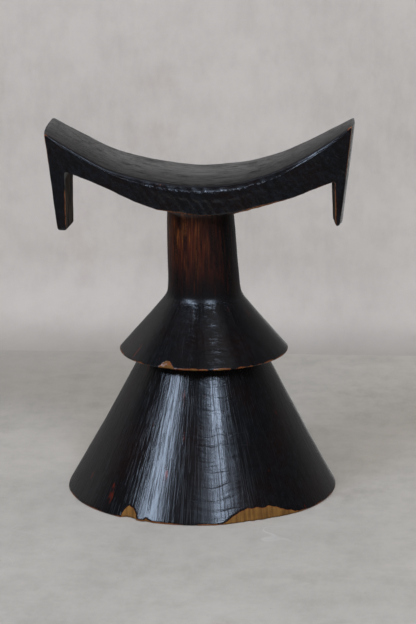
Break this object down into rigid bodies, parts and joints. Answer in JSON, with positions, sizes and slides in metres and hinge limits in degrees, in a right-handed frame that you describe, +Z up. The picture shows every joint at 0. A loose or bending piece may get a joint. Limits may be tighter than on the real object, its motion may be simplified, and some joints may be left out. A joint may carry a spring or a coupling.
{
  "type": "headrest",
  "caption": "Carved wooden neck rest: a hollowed cone foot, an overhanging skirt, a round stem and a dished saddle with down-turned end flaps.",
  "frame": {"origin": "middle of the footprint, on the surface that the foot stands on", "axes": "+Z up, +X along the saddle towards its right end, -Y towards the front"},
  "size_m": [0.1428, 0.1284, 0.1774],
  "materials": {
    "black_patina": "black, smoked and hand-polished, worn to brown along its edges",
    "handled_brown": "dark red-brown, rubbed bright by handling, darker at both ends"
  },
  "bodies": {
    "root": {"base_cone": "black_patina", "upper_skirt": "black_patina", "stem": "handled_brown", "saddle": "black_patina", "left_end_flap": "black_patina", "right_end_flap": "black_patina"}
  },
  "joints": []
}
